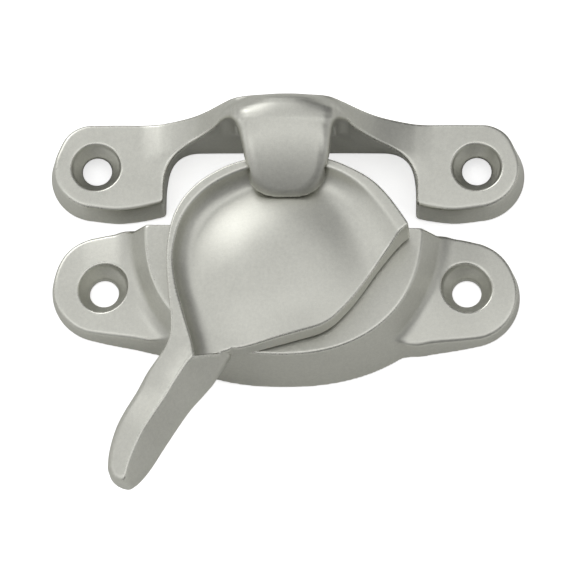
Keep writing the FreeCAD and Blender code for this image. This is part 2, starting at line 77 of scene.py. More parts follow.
def catmull(points, pieces=8):
    """Smooth open curve through the points, centripetal so uneven tables stay tidy."""
    def between(at, start, end, first, second):
        return (end - at) / (end - start) * first + (at - start) / (end - start) * second

    points = np.array(points, float)
    points = np.vstack([2 * points[0] - points[1], points, 2 * points[-1] - points[-2]])
    curve = []
    for i in range(1, len(points) - 2):
        near = points[i - 1:i + 3]
        knots = [0.0]
        for start, end in zip(near[:-1], near[1:]):
            knots.append(knots[-1] + max(np.linalg.norm(end - start), 1e-6) ** 0.5)
        for at in np.linspace(knots[1], knots[2], pieces, endpoint=False):
            lines = [between(at, knots[j], knots[j + 1], near[j], near[j + 1]) for j in range(3)]
            bends = [between(at, knots[j], knots[j + 2], lines[j], lines[j + 1])
                     for j in range(2)]
            curve.append(between(at, knots[1], knots[2], *bends))
    curve.append(points[-2])
    return np.array(curve)


def polar(table):
    """Points from a table of (angle in degrees, radius)."""
    angle, radius = np.radians([row[0] for row in table]), np.array([row[1] for row in table])
    return np.stack([radius * np.cos(angle), radius * np.sin(angle)], 1)


def arc(centre_x, centre_y, radius, half_angle):
    """Arc round the +X side of a centre, from front to rear."""
    angle = np.radians(np.linspace(-half_angle, half_angle, 40))
    return np.stack([centre_x + radius * np.cos(angle), centre_y + radius * np.sin(angle)], 1)


def mirror_close(parts):
    """Closed outline from its right half, run from the front middle to the rear middle."""
    half = np.vstack(parts)
    return np.vstack([half, half[::-1] * (-1, 1)])


class Outline:
    """Signed distance to a closed 2-D outline, negative inside, read from a fine table."""

    STEP = 0.12

    def __init__(self, points, pad=6.0):
        points = np.array(points, float)
        self.low = points.min(0) - pad
        self.size = np.ceil((points.max(0) + pad - self.low) / self.STEP).astype(int) + 1
        grid = np.meshgrid(*(self.low[i] + self.STEP * np.arange(self.size[i]) for i in (0, 1)),
                           indexing="ij")
        grid = np.stack([grid[0].ravel(), grid[1].ravel()], 1)
        nearest = np.full(len(grid), 1e18)
        inside = np.zeros(len(grid), bool)
        for start, end in zip(points, np.roll(points, -1, axis=0)):
            side = end - start
            square = side @ side
            if square < 1e-12:
                continue
            offset = grid - start
            share = np.clip((offset @ side) / square, 0, 1)
            miss_x = offset[:, 0] - share * side[0]
            miss_y = offset[:, 1] - share * side[1]
            nearest = np.minimum(nearest, miss_x * miss_x + miss_y * miss_y)
            crosses = (start[1] > grid[:, 1]) != (end[1] > grid[:, 1])
            if crosses.any():
                cross_x = start[0] + offset[:, 1] / side[1] * side[0]
                inside ^= crosses & (grid[:, 0] < cross_x)
        distance = np.sqrt(nearest)
        distance[inside] *= -1
        self.table = distance.reshape(self.size)

    def __call__(self, x, y):
        """Bicubic reading of the table."""
        cells, weights = [], []
        for i, value in enumerate(np.broadcast_arrays(x, y)):
            place = np.clip((value - self.low[i]) / self.STEP, 1.0, self.size[i] - 2.001)
            cell = place.astype(int)
            t = place - cell
            cells.append(cell)
            weights.append((-0.5 * t + t * t - 0.5 * t ** 3, 1 - 2.5 * t * t + 1.5 * t ** 3,
                            0.5 * t + 2 * t * t - 1.5 * t ** 3, -0.5 * t * t + 0.5 * t ** 3))
        total = 0.0
        for i in range(4):
            row = 0.0
            for j in range(4):
                row = row + weights[1][j] * self.table[
                    np.clip(cells[0] + i - 1, 0, self.size[0] - 1),
                    np.clip(cells[1] + j - 1, 0, self.size[1] - 1)]
            total = total + weights[0][i] * row
        return total


def table_curve(places, values):
    """Monotone cubic through a table, going on straight past its ends."""
    places, values = np.array(places, float), np.array(values, float)
    gaps = np.diff(places)
    rises = np.diff(values) / gaps
    slopes = np.zeros(len(places))
    slopes[0], slopes[-1] = rises[0], rises[-1]
    for i in range(1, len(places) - 1):
        if rises[i - 1] * rises[i] > 0:
            before, after = 2 * gaps[i] + gaps[i - 1], gaps[i] + 2 * gaps[i - 1]
            slopes[i] = (before + after) / (before / rises[i - 1] + after / rises[i])

    def curve(at):
        at = np.asarray(at, float)
        i = np.clip(np.searchsorted(places, at) - 1, 0, len(places) - 2)
        share = (at - places[i]) / gaps[i]
        t = np.clip(share, 0, 1)
        value = ((1 + 2 * t) * (1 - t) ** 2 * values[i]
                 + t * (1 - t) ** 2 * gaps[i] * slopes[i]
                 + t * t * (3 - 2 * t) * values[i + 1]
                 + t * t * (t - 1) * gaps[i] * slopes[i + 1])
        return (value + np.where(share < 0, (at - places[0]) * slopes[0], 0)
                + np.where(share > 1, (at - places[-1]) * slopes[-1], 0))
    return curve


# ------------------------------------------------ meshing


def gradient(field, points, reach):
    parts = [field(*(points + shift).T) - field(*(points - shift).T)
             for shift in reach * np.eye(3)]
    return np.stack(parts, 1) / (2 * reach)


def pull(field, points, most):
    """One Newton step of every point onto field = 0; also returns the unit normals."""
    slope = gradient(field, points, 0.02)
    square = np.maximum((slope * slope).sum(1), 0.05)
    move = -(field(*points.T) / square)[:, None] * slope
    length = np.linalg.norm(move, axis=1)
    move *= np.minimum(1, most / np.maximum(length, 1e-9))[:, None]
    return points + move, slope / np.sqrt(square)[:, None]


def window(grid, starts):
    """The grid one layer shorter on each axis in starts, from layer 0 or 1 of that axis."""
    return grid[tuple(slice(starts[i], starts[i] - 1 or None) if i in starts else slice(None)
                      for i in range(3))]


def sample(field, low, size, step):
    """Field values on the grid, with no grid square left whose corners alternate."""
    axes = [low[i] + step * np.arange(size[i]) for i in range(3)]
    grid = np.empty(size, np.float32)
    slab = 24
    for i in range(0, size[0], slab):
        grid[i:i + slab] = field(*np.meshgrid(axes[0][i:i + slab], *axes[1:], indexing="ij"))
    grid[np.abs(grid) < 1e-6] = 1e-6
    # alternating corners would give an edge shared by four faces, so one corner is filled
    for _ in range(3):
        for p, q in ((0, 1), (1, 2), (0, 2)):
            inside = grid < 0
            near, right, left, far = (window(inside, {p: i, q: j})
                                      for i, j in ((0, 0), (1, 0), (0, 1), (1, 1)))
            fill = np.argwhere((near == far) & (right == left) & (near != right))
            fill[inside[tuple(fill.T)], p] += 1
            grid[tuple(fill.T)] = -1e-6
    return grid


def surface(field, low, high, step):
    """Closed quad mesh of field = 0: surface nets, then pulled onto the exact surface."""
    low, high = np.array(low, float), np.array(high, float)
    size = np.ceil((high - low) / step).astype(int) + 1
    grid = sample(field, low, size, step)
    inside = grid < 0
    # one vertex in each cell that straddles the surface, at the mean of its edge crossings
    filled = np.zeros(size - 1, int)
    for corner in product((0, 1), repeat=3):
        filled += window(inside, dict(enumerate(corner)))
    straddles = (filled > 0) & (filled < 8)
    cells = np.argwhere(straddles)
    numbers = -np.ones(size - 1, int)
    numbers[straddles] = np.arange(len(cells))
    total = np.zeros((len(cells), 3))
    count = np.zeros(len(cells))
    for axis in range(3):
        sides = [i for i in range(3) if i != axis]
        for corner in product((0, 1), repeat=2):
            start = cells.copy()
            start[:, sides] += corner
            end = start.copy()
            end[:, axis] += 1
            at_start = grid[tuple(start.T)].astype(float)
            at_end = grid[tuple(end.T)].astype(float)
            crosses = (at_start < 0) != (at_end < 0)
            place = start.astype(float)
            place[:, axis] += np.where(
                crosses, at_start / np.where(crosses, at_start - at_end, 1), 0)
            total[crosses] += place[crosses]
            count[crosses] += 1
    first = points = low + step * total / count[:, None]
    for _ in range(4):
        points, _normals = pull(field, points, 0.5 * step)
        move = points - first
        length = np.linalg.norm(move, axis=1)
        points = first + move * np.minimum(1, 0.8 * step / np.maximum(length, 1e-9))[:, None]
    # one quad round every grid edge that crosses the surface
    faces = []
    for axis in range(3):
        sides = [(axis + 1) % 3, (axis + 2) % 3]
        start_inside = window(inside, {axis: 0})
        edges = np.argwhere(start_inside != window(inside, {axis: 1}))
        edges = edges[((edges[:, sides] > 0) & (edges[:, sides] < size[sides] - 1)).all(1)]
        outward = start_inside[tuple(edges.T)]
        corners = []
        for shift in ((-1, -1), (0, -1), (0, 0), (-1, 0)):
            cell = edges.copy()
            cell[:, sides] += shift
            corners.append(numbers[tuple(cell.T)])
        quads = np.stack(corners, 1)
        quads[~outward] = quads[~outward][:, ::-1]
        faces.append(quads)
    faces = np.vstack(faces)
    # even out the quads by sliding their corners along the surface
    for _ in range(3):
        total = np.zeros_like(points)
        count = np.zeros(len(points))
        for k in range(4):
            p, q = faces[:, k], faces[:, (k + 1) % 4]
            for c in range(3):
                total[:, c] += (np.bincount(p, points[q, c], len(points))
                                + np.bincount(q, points[p, c], len(points)))
            count += (np.bincount(p, minlength=len(points))
                      + np.bincount(q, minlength=len(points)))
        move = total / np.maximum(count, 1)[:, None] - points
        if _ == 0:
            normals = _normals
        move -= normals * (move * normals).sum(1)[:, None]
        points, normals = pull(field, points + 0.5 * move, 0.25 * step)
    return pull(field, points, 0.25 * step)[0], faces


def add_mesh(name, points, faces, field):
    """Mesh object with the field's own normals and an attribute of how sharply each place is
    rounded, which the material uses for painted edge highlights and smoother edges.
    """
    mesh = bpy.data.meshes.new(name)
    mesh.vertices.add(len(points))
    mesh.vertices.foreach_set("co", (points * MM).astype(np.float32).ravel())
    mesh.loops.add(faces.size)
    mesh.loops.foreach_set("vertex_index", faces.astype(np.int32).ravel())
    mesh.polygons.add(len(faces))
    mesh.polygons.foreach_set("loop_start", np.arange(0, faces.size, 4, dtype=np.int32))
    mesh.polygons.foreach_set("loop_total", np.full(len(faces), 4, dtype=np.int32))
    mesh.update(calc_edges=True)
    mesh.validate()
    mesh.polygons.foreach_set("use_smooth", np.ones(len(mesh.polygons), bool))
    made = bpy.data.objects.new(name, mesh)
    bpy.context.scene.collection.objects.link(made)
    normals = gradient(field, points, 0.015)
    normals /= np.maximum(np.linalg.norm(normals, axis=1), 1e-9)[:, None]
    mesh.normals_split_custom_set_from_vertices(normals.astype(np.float32).tolist())
    # edge rounding: how sharply each place is rounded outwards; the material paints highlights on
    # the edges from it
    reach = 0.28
    bend = -6.0 * field(*points.T)
    for shift in reach * np.eye(3):
        bend = bend + field(*(points + shift).T) + field(*(points - shift).T)
    edge_rounding = np.clip((bend / reach ** 2 - 0.35) / 1.6, 0, 1)
    attribute = mesh.attributes.new("edge_rounding", "FLOAT", "POINT")
    attribute.data.foreach_set("value", edge_rounding.astype(np.float32))
    return made


# ------------------------------------------------ screw holes, shared by base and keeper
HOLE_RADIUS, SINK_RADIUS, SINK_ANGLE = 2.05, 3.55, math.radians(41)


def screw_hole(x, y, z, centre_x, centre_y, top):
    """Countersunk hole on each side, the countersink reaching its full radius at top."""
    radius = np.sqrt((np.abs(x) - centre_x) ** 2 + (y - centre_y) ** 2)
    slope = math.tan(SINK_ANGLE)
    sink_z = top - (SINK_RADIUS - HOLE_RADIUS) / slope
    cone = (radius - (HOLE_RADIUS + (z - sink_z) * slope)) * math.cos(SINK_ANGLE)
    return soft_min(radius - HOLE_RADIUS, soft_max(cone, radius - SINK_RADIUS, 0.35), 0.2)


# ------------------------------------------------ base
EAR_X, EAR_RADIUS = 25.6, 7.5       # ear ends, centred on y = 0
EAR_TOP = 3.05
EAR_SINK_TOP = 2.75
BOSS_HEIGHT = 8.5
BOSS_HALF_WIDTHS = (25.0, 19.4)     # at z = 0 and at the top
BOSS_DEPTHS = (21.3, 19.1)          # from the rear line to the front, likewise
BOSS_REAR_Y = 7.6
BOSS_POWER = 2.25                   # superellipse exponent of the plan
BASE_BORE_RADIUS = 3.05
POCKET_HALF_WIDTH, POCKET_FRONT_Y, POCKET_REAR_Y, POCKET_TOP = 14.0, -9.6, 5.5, 5.3
RIB_ANGLES = np.radians([-14.1, -3.1])
RIB_START_RADIUS, RIB_END_X, RIB_Z = 5.7, 14.6, 1.6
BAR_START_X, BAR_Z = 10.6, 1.8
BAR_SPANS_Y = ((2.8, 4.15), (4.65, 6.2))

# right half of the ears' plan (x, y)
EAR_FRONT = [(0, -4.5), (8, -4.8), (12.4, -6.4), (15.6, -8.35), (18.4, -8.95), (21.3, -8.5),
             (24.6, -7.9)]
EAR_REAR = [(24.4, 7.68), (20.6, 7.72), (10, 7.6), (0, 7.5)]
ear_end = arc(EAR_X, 0.0, EAR_RADIUS, 75)
EARS = Outline(mirror_close([catmull(EAR_FRONT + [ear_end[0]], 10)[:-1], ear_end,
                             catmull([ear_end[-1]] + EAR_REAR)[1:]]))
rib_start = RIB_START_RADIUS * np.stack([np.cos(RIB_ANGLES), np.sin(RIB_ANGLES)], 1)
rib_end = [(RIB_END_X, RIB_END_X * math.tan(angle)) for angle in RIB_ANGLES]
RIB = Outline([rib_start[0], *rib_end, rib_start[1]], pad=4)


def boss_wall(x, y, z):
    """Distance to the tapering half superellipse in front of the boss's rear line."""
    rise = z / BOSS_HEIGHT
    shrink_x, shrink_y = (pair[0] - pair[1] for pair in (BOSS_HALF_WIDTHS, BOSS_DEPTHS))
    half_width = BOSS_HALF_WIDTHS[0] - shrink_x * rise
    depth = BOSS_DEPTHS[0] - shrink_y * rise
    u = np.abs(x) / half_width + 1e-9
    v = np.maximum(BOSS_REAR_Y - y, 0) / depth + 1e-9
    ratio = (u ** BOSS_POWER + v ** BOSS_POWER) ** (1 / BOSS_POWER)
    slope_x = ratio ** (1 - BOSS_POWER) * u ** (BOSS_POWER - 1) / half_width
    slope_y = ratio ** (1 - BOSS_POWER) * v ** (BOSS_POWER - 1) / depth
    slope = np.sqrt(slope_x * slope_x + slope_y * slope_y)
    lean = (shrink_x * u ** 2 + shrink_y * v ** 2) / (u * u + v * v) / BOSS_HEIGHT
    return (ratio - 1) / np.maximum(slope, 1e-6) / np.sqrt(1 + lean ** 2)


def round_box(x, y, x0, x1, y0, y1, radius):
    over_x = np.abs(x - (x0 + x1) / 2) - (x1 - x0) / 2 + radius
    over_y = np.abs(y - (y0 + y1) / 2) - (y1 - y0) / 2 + radius
    corner = np.sqrt(np.maximum(over_x, 0) ** 2 + np.maximum(over_y, 0) ** 2)
    return np.minimum(np.maximum(over_x, over_y), 0) + corner - radius


def base_pocket(x, y, z):
    """Hollow of the underside, less its ribs and the short bars near its rear corners."""
    plan = [round_box(x, y, -POCKET_HALF_WIDTH, POCKET_HALF_WIDTH, POCKET_FRONT_Y, rear, radius)
            for rear, radius in ((POCKET_REAR_Y, 2.5), (30.0, 7.0))]
    pocket = soft_max(soft_max(*plan, 0.2) + 0.03 * z, z - POCKET_TOP, 0.6)
    side = np.abs(x)
    rib = soft_max(RIB(side, y), RIB_Z - z, 0.2)
    bars = np.minimum(*(round_box(side, y, BAR_START_X, RIB_END_X, *span, 0.15)
                        for span in BAR_SPANS_Y))
    bars = soft_max(bars, BAR_Z - z, 0.2)
    return cut(pocket, soft_min(rib, bars, 0.2), 0.25)


def base_field(x, y, z):
    side = np.abs(x)
    # ears: the top climbs to the boss and falls towards the edges, the wall has draft
    top = (EAR_TOP + 1.35 * ease(side, 29.0, 19.5) - np.where(y < 0, 0.5, 0.22) * (y / 7.0) ** 2
           - 0.35 * ease(side, 25.0, 33.0))
    draft = 0.17 - 0.15 * ease(y, 2.0, 7.0)
    ears = soft_max((EARS(x, y + 0.015 * x) + draft * z) / 1.014, (z - top) * 0.98, 0.5)
    boss = soft_max(boss_wall(x, y, z), y - (7.5 - 0.014 * x - 0.012 * z), 0.5)
    boss = soft_max(boss, z - BOSS_HEIGHT, 0.32)
    body = soft_min(boss, ears, 1.5 - 0.5 * ease(x, -8.0, 8.0))
    body = soft_max(body, -z, 0.25)
    body = cut(body, base_pocket(x, y, z), 0.3)
    body = soft_max(body, BASE_BORE_RADIUS - np.sqrt(x * x + y * y), 0.12)
    return cut(body, screw_hole(x, y, z, EAR_X, 0.0, EAR_SINK_TOP), 0.34)


# ------------------------------------------------ cam and lever
RIM_TOP = 15.0
RIM_TAPER = math.tan(math.radians(20.0))    # lean of the rim's inner face
CAM_UNDER = 9.1
BOWL_FLOOR = 12.2
DOME_TOP, DOME_RADIUS = 14.2, 12.6
CAM_BORE_RADIUS, CAM_BORE_TOP = 3.0, 12.0
LEVER_START, DISC_END = 14.0, 18.3          # where both end, measured along the lever
STEEP_SLOPE = 1.45                          # right facet of the lever
LEVER_ANGLE = math.radians(-124.0)
LEVER_X, LEVER_Y = math.cos(LEVER_ANGLE), math.sin(LEVER_ANGLE)

# rim of the disc: (degrees from +X, radius)
RIM_OUTER = [
    (16.5, 18.65), (23, 18.17), (34.7, 17.7), (44.5, 17.38), (55.4, 16.85), (66, 16.5),
    (80, 16.15), (95, 15.95), (109.5, 15.93), (120, 16.2), (134, 16.55), (145, 16.7),
    (155, 16.6), (165, 16.3), (176, 16.03), (187, 15.95), (200, 16.45)]
RIM_INNER = [
    (10, 17.6), (14, 17.18), (21, 16.6), (30, 16.15), (42, 15.8), (52, 15.5), (63, 15.2),
    (76, 14.85), (90, 14.6), (100, 14.5), (111.6, 14.45), (124, 14.65), (136.5, 14.99),
    (149, 15.19), (159, 15.18), (171, 15.04), (179, 14.96), (188, 14.85), (197, 14.88),
    (206, 15.1), (215, 15.74), (224.4, 16.9), (230, 18.13), (234, 19.6)]
# front edge of the disc (x, y)
DISC_FRONT = [
    (24.0, 11.0), (18.9, 6.0), (17.26, 5.0), (16.0, 3.75), (14.6, 2.0), (12.85, -0.4),
    (11.3, -2.76), (9.9, -4.7), (8.4, -6.45), (7.0, -7.8), (5.3, -8.8), (2.8, -9.6),
    (0.0, -10.4), (-4.24, -11.6), (-9.2, -12.75), (-11.9, -13.75)]
# lever outline (x, y), on from the rim, round the tip and back
LEVER_LEFT = [
    (-15.15, -8.5), (-15.2, -10.3), (-15.75, -12.0), (-18.4, -15.5), (-19.8, -18.0),
    (-21.2, -20.3), (-22.3, -22.4), (-23.05, -24.7), (-23.45, -26.9), (-23.5, -28.5)]
LEVER_TIP = [(-23.5, -28.5), (-22.9, -29.9), (-21.8, -30.8), (-20.5, -31.1), (-19.4, -30.4)]
LEVER_RIGHT = [
    (-19.4, -30.4), (-18.3, -29.2), (-17.2, -27.8), (-14.9, -24.4), (-12.5, -20.8),
    (-10.7, -18.3), (-9.3, -16.3), (-8.3, -14.6), (-6.6, -12.0)]
# ridge between the lever's facets (x, y)
RIDGE = np.array([
    (-10.2, -11.9), (-11.7, -13.7), (-12.9, -15.2), (-14.25, -17.3), (-15.6, -19.6),
    (-17.0, -21.7), (-18.35, -23.8), (-19.4, -25.9), (-20.3, -28.1), (-20.9, -30.2)])

rim_points = polar(RIM_OUTER)
CAM_PLAN = Outline(np.vstack([
    catmull(rim_points, 6)[:-1], catmull([rim_points[-1]] + LEVER_LEFT, 6)[:-1],
    catmull(LEVER_TIP, 6)[:-1], catmull(LEVER_RIGHT, 6),
    [(2.0, -13.5), (13.5, -9.0), (18.0, -1.0)]]))
BOWL = Outline(np.vstack([catmull(polar(RIM_INNER), 6),
                          [(-6.0, -22.0), (20.0, -16.0), (24.0, 2.0)]]))
FRONT_CUT = Outline(np.vstack([catmull(DISC_FRONT), [
    (-12.6, -15.3), (-10.0, -22.0), (10.0, -26.0), (32.0, -16.0), (32.0, 10.0)]]))


def lever_axes(x, y):
    """Place along the lever from the pivot, and across it towards +X."""
    return x * LEVER_X + y * LEVER_Y, x * -LEVER_Y + y * LEVER_X


RIDGE_ACROSS = table_curve(*lever_axes(RIDGE[:, 0], RIDGE[:, 1]))
RIDGE_Z = table_curve([14, 17.9, 21, 25, 29, 33, 36, 38],
                      [RIM_TOP, RIM_TOP, 14.8, 14.35, 13.8, 13.1, 12.5, 12.1])


def cam_field(x, y, z):
    radius = np.sqrt(x * x + y * y)
    angle = np.degrees(np.arctan2(y, x))
    along, across = lever_axes(x, y)
    plan = CAM_PLAN(x, y) + 0.03 * (z - CAM_UNDER)
    edge = 0.32 + 0.6 * ease(along, 17.0, 25.0)
    front = FRONT_CUT(x, y)
    # bowl inside the rim, its wall leaning further and running out softer at the right
    lean = RIM_TAPER + 0.30 * ease(angle, 60.0, 15.0) * (angle > -60)
    wall = (BOWL(x, y) + (RIM_TOP - z) * lean) / np.sqrt(1 + lean * lean)
    bowl = soft_max(wall, BOWL_FLOOR - z,
                    1.9 + 2.4 * ease(angle, 75.0, 30.0) * ease(angle, -75.0, -45.0))
    # facets: the gentle left one grows out of the flat rim, the right one is steep
    off_ridge = across - RIDGE_ACROSS(along)
    above_ridge = z - RIDGE_Z(along)
    slope = 0.50 * ease(along, 13.5, 26.5)
    left = (above_ridge - slope * off_ridge) / np.sqrt(1 + slope * slope)
    right = (above_ridge + STEEP_SLOPE * off_ridge) / math.sqrt(1 + STEEP_SLOPE ** 2)
    rim_top = z - RIM_TOP
    disc = soft_max(np.where(off_ridge < 0, np.maximum(rim_top, left), rim_top), plan, edge)
    disc = cut(disc, bowl, 0.38)
    dome_z = DOME_TOP - 2.2 * (radius / 11.2) ** 2.7
    dome = soft_max((z - dome_z) * 0.94, radius - DOME_RADIUS, 0.6)
    disc = cut(soft_min(disc, dome, 1.3), front, 0.42)
    disc = np.maximum(disc, along - DISC_END)
    lever = soft_max(soft_max(left, right, 0.35), plan, edge)
    lever = soft_max(lever, LEVER_START - along, 0.3)
    lever = cut(lever, cut(bowl, front, 0.2), 0.38)
    under_z = CAM_UNDER - 1.3 * ease(along, 22.5, 35.5)
    body = soft_max(np.minimum(disc, lever), under_z - z, 0.25 + 0.75 * ease(along, 17.0, 25.0))
    return cut(body, soft_max(radius - CAM_BORE_RADIUS, z - CAM_BORE_TOP, 0.1), 0.12)


# ------------------------------------------------ keeper
KEEPER_X, KEEPER_Y, KEEPER_RADIUS = 27.0, 17.8, 6.8     # ear ends
KEEPER_TOP, KEEPER_SINK_TOP = 4.4, 4.15
RELIEF_RADIUS, RELIEF_TOP = 4.6, 2.0        # under each ear
WALL_FRONT_Y = 21.4                         # front of the rear wall at z = 0
RING_RADIUS, RING_Z = 14.15, 15.55          # inner face of the ring cut, at this height
RING_OUTER, RING_LOW, RING_TOP, RING_HALF_WIDTH = 20.9, 8.0, 15.4, 12.0

# right half of the plan (x, y)
KEEPER_MIDDLE = [(0, 11.9), (12.0, 11.9), (16.9, 11.85)]
KEEPER_FRONT = [(16.9, 11.85), (20.5, 11.0), (24.0, 10.65)]
KEEPER_REAR = [(24.0, 24.55), (20.0, 24.5), (13.0, 24.5), (0, 24.5)]
keeper_end = arc(KEEPER_X, KEEPER_Y, KEEPER_RADIUS, 80)
KEEPER_PLAN = Outline(mirror_close([
    catmull(KEEPER_MIDDLE, 3)[:-1], catmull(KEEPER_FRONT + [keeper_end[0]])[:-1], keeper_end,
    catmull([keeper_end[-1]] + KEEPER_REAR)[1:]]))
# crest height and front of the wall's top edge by |x|, side of the front opening by y
CREST_Z = table_curve(
    [0, 4.0, 5.4, 6.4, 7.4, 8.6, 9.8, 11.2, 12.8, 14.6, 16.6, 18.6, 21.0, 40.0],
    [15.3, 15.3, 15.3, 15.1, 14.4, 13.0, 11.4, 9.6, 7.9, 6.5, 5.4, 4.7, 4.4, 4.4])
CREST_FRONT_Y = table_curve([0, 7.3, 8.7, 9.9, 12.0, 15.2, 18.0, 40],
                            [21.9, 21.9, 21.7, 21.1, 20.6, 19.9, 19.5, 19.5])
OPENING_X = table_curve([8, 11.9, 15.0, 18.5, 26], [17.75, 17.75, 17.75, 17.4, 16.8])
# hook seen from the side (y, z), from the rear over the top to the nose
HOOK_TOP = [
    (24.5, 13.5), (24.35, 15.5), (23.95, 16.9), (23.1, 17.95), (21.8, 18.45), (20.3, 18.6),
    (18.8, 18.48), (17.2, 18.12), (15.6, 17.52), (14.1, 16.74), (12.6, 15.72), (11.2, 14.55),
    (10.15, 13.5), (9.65, 12.85)]
HOOK_SIDE = Outline(np.vstack([catmull(HOOK_TOP), [
    (10.4, 12.75), (14.6, 12.75), (22.0, 11.0), (24.5, 11.0)]]))
# hook seen from above (x, y), from right to left
HOOK_PLAN = Outline(catmull([
    (7.4, 27.0), (7.15, 22.5), (6.9, 19.4), (6.72, 16.6), (6.48, 14.4), (5.88, 12.15),
    (4.7, 10.55), (3.05, 9.5), (0.8, 9.12), (-1.25, 9.27), (-3.1, 10.05), (-4.35, 11.4),
    (-5.0, 13.5), (-5.5, 16.2), (-6.2, 19.4), (-6.7, 22.5), (-7.0, 27.0)]))


def keeper_plate(x, y, z):
    """Ears and rear wall in one: the ear tops climb to the crest towards the rear."""
    side = np.abs(x)
    crest = CREST_Z(side)
    slope = np.clip(np.abs(CREST_Z(side + 0.05) - CREST_Z(side - 0.05)) / 0.1, 0, 3)
    crown = 0.35 * ((y - 18.5) / 7.0) ** 2 * ease(side, 15.0, 19.0)
    top = KEEPER_TOP + (crest - KEEPER_TOP) * ease(y, 15.0, 20.0) - crown
    draft = 0.20 - 0.16 * ease(y, 20.0, 24.0)
    wall = (KEEPER_PLAN(x, y) + draft * np.minimum(z, KEEPER_TOP)) / 1.02
    plate = soft_max(wall, (z - top) / np.sqrt(1 + slope * slope), 0.5)
    height = np.clip(z / np.maximum(crest, 1), 0, 1)
    front = WALL_FRONT_Y + (CREST_FRONT_Y(side) - WALL_FRONT_Y) * height
    opening_x = OPENING_X(y) + 0.02 * np.minimum(z, 5.0)
    return cut(plate, soft_max(np.abs(x - 0.6) - opening_x, y - front, 4.2), 0.5)


def ring_cut(x, y, z):
    """Path of the cam's rim under the hook."""
    radius = np.sqrt(x * x + y * y)
    angle = np.degrees(np.arctan2(y, x))
    inner = RING_RADIUS + 0.0155 * np.clip(109.0 - angle, 0, 50) - (RING_Z - z) * RIM_TAPER
    ring = soft_max(z - RING_TOP, (inner - radius) * math.cos(math.radians(20)), 0.4)
    ring = soft_max(ring, radius - RING_OUTER, 1.5)
    ring = soft_max(ring, RING_LOW - z, 0.5)
    return soft_max(ring, np.abs(x) - RING_HALF_WIDTH, 0.5)


def keeper_field(x, y, z):
    # the hook's top falls away to its sides
    fall = (0.9 + 1.7 * ease(y, 20.5, 24.0)) * (np.abs(x - 0.5) / 6.4) ** 2.6
    hook = soft_max(HOOK_SIDE(y, z + fall * ease(y, 15.0, 21.0)), HOOK_PLAN(x, y), 1.7)
    # it flares into the front of the crest, and keeps a crisp line at the rear
    body = soft_min(keeper_plate(x, y, z), hook, 1.1 + 2.9 * ease(y, 23.9, 21.7))
    body = soft_max(body, y - 24.38, 0.3)
    body = cut(body, ring_cut(x, y, z), 0.45)
    body = soft_max(body, -z, 0.25)
    ear_radius = np.sqrt((np.abs(x) - KEEPER_X) ** 2 + (y - KEEPER_Y) ** 2)
    body = cut(body, soft_max(ear_radius - RELIEF_RADIUS, z - RELIEF_TOP, 0.4), 0.3)
    return cut(body, screw_hole(x, y, z, KEEPER_X, KEEPER_Y, KEEPER_SINK_TOP), 0.34)


# name, field, corners of its grid, grid step factor, group it rides, CAD piece it replaces
CASTINGS = [
    ("base_casting", base_field, (-34.2, -14.6, -0.6), (34.2, 8.6, 9.3), 1.0,
     "base", "lock_base"),
    ("cam_casting", cam_field, (-24.6, -32.2, 6.9), (19.6, 17.4, 15.8), 0.92,
     "cam", "cam_lever"),
    ("keeper_casting", keeper_field, (-34.8, 9.4, -0.6), (34.8, 25.4, 19.4), 0.95,
     "keeper_side", "keeper")]
castings = []
for name, field, low, high, factor, group, piece in CASTINGS:
    casting = add_mesh(name, *surface(field, low, high, GRID_STEP * factor), field)
    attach(casting, group)
    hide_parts(piece)
    castings.append(casting)

# ------------------------------------------------ materials


def add_node(tree, kind, inputs, **settings):
    """New node; an input given as a socket is linked, any other is set."""
    made = tree.nodes.new(kind)
    for name, value in settings.items():
        setattr(made, name, value)
    for socket, value in inputs.items():
        if isinstance(value, bpy.types.NodeSocket):
            tree.links.new(value, made.inputs[socket])
        else:
            made.inputs[socket].default_value = value
    return made


def add_math(tree, operation, *values):
    return add_node(tree, "ShaderNodeMath", dict(enumerate(values)),
                    operation=operation).outputs[0]


def mix_color(tree, factor, first, second, **settings):
    return add_node(tree, "ShaderNodeMix", {0: factor, 6: first, 7: second},
                    data_type="RGBA", **settings).outputs[2]


